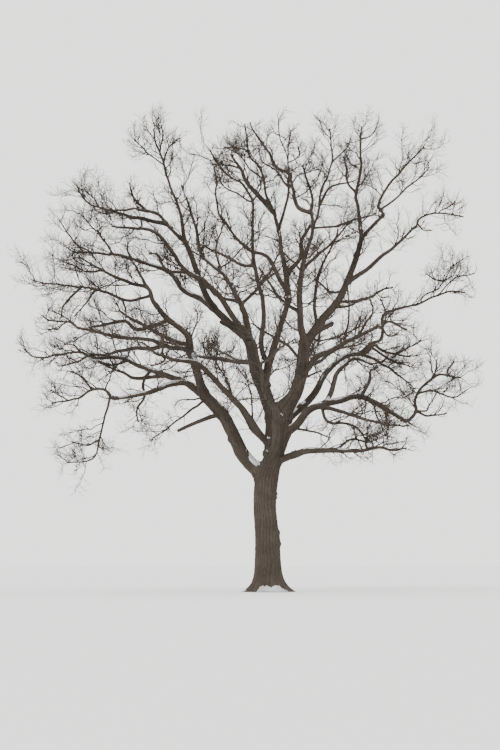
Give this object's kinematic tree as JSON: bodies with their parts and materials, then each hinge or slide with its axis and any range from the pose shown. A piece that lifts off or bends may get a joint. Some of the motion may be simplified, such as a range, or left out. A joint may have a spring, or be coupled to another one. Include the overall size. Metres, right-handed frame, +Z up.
{
  "type": "bare oak tree",
  "caption": "Open-grown deciduous oak in winter, leafless, with flared trunk, spreading crooked boughs and twig masses.",
  "frame": {"origin": "centre of the flat cut under the trunk, at ground level", "axes": "+Z up the trunk, +X to the right and +Y away from the viewer, as seen from the front"},
  "size_m": [17.9074, 15.5219, 18.5928],
  "materials": {
    "bark": "rough furrowed bark, with thin old snow on its upper sides",
    "twigs": "matt bare twigs"
  },
  "bodies": {
    "root": {"trunk": "bark", "bough_left_low": "bark", "bough_leader_left": "bark", "bough_leader_right": "bark", "bough_left_level": "bark", "bough_left_low_arm": "bark", "bough_left_riser": "bark", "bough_left_reach": "bark", "bough_left_second": "bark", "bough_leader_mid": "bark", "bough_cross_left": "bark", "bough_upper_left": "bark", "bough_spire_left": "bark", "bough_spear_left": "bark", "bough_centre_left": "bark", "bough_crown_centre": "bark", "bough_crown_right": "bark", "bough_right_upper": "bark", "bough_right_inner": "bark", "bough_cross_top": "bark", "bough_right_far_upper": "bark", "bough_right_horn": "bark", "bough_right_mid": "bark", "bough_right_reach": "bark", "bough_right_high_mid": "bark", "bough_right_lower": "bark", "bough_right_lower_front": "bark", "bough_right_lowest": "bark", "bough_fan_left": "bark", "bough_front_low": "bark", "bough_front_high": "bark", "bough_back_low": "bark", "bough_back_high": "bark", "twigs_left_level": "twigs", "twigs_left_low_arm": "twigs", "twigs_left_riser": "twigs", "twigs_left_reach": "twigs", "twigs_left_second": "twigs", "twigs_cross_left": "twigs", "twigs_upper_left": "twigs", "twigs_spire_left": "twigs", "twigs_centre_left": "twigs", "twigs_crown_centre": "twigs", "twigs_crown_right": "twigs", "twigs_right_upper": "twigs", "twigs_right_inner": "twigs", "twigs_cross_top": "twigs", "twigs_right_far_upper": "twigs", "twigs_right_horn": "twigs", "twigs_right_mid": "twigs", "twigs_right_reach": "twigs", "twigs_right_high_mid": "twigs", "twigs_right_lower": "twigs", "twigs_right_lower_front": "twigs", "twigs_right_lowest": "twigs", "twigs_fan_left": "twigs", "twigs_front_low": "twigs", "twigs_front_high": "twigs", "twigs_back_low": "twigs", "twigs_back_high": "twigs"}
  },
  "joints": []
}
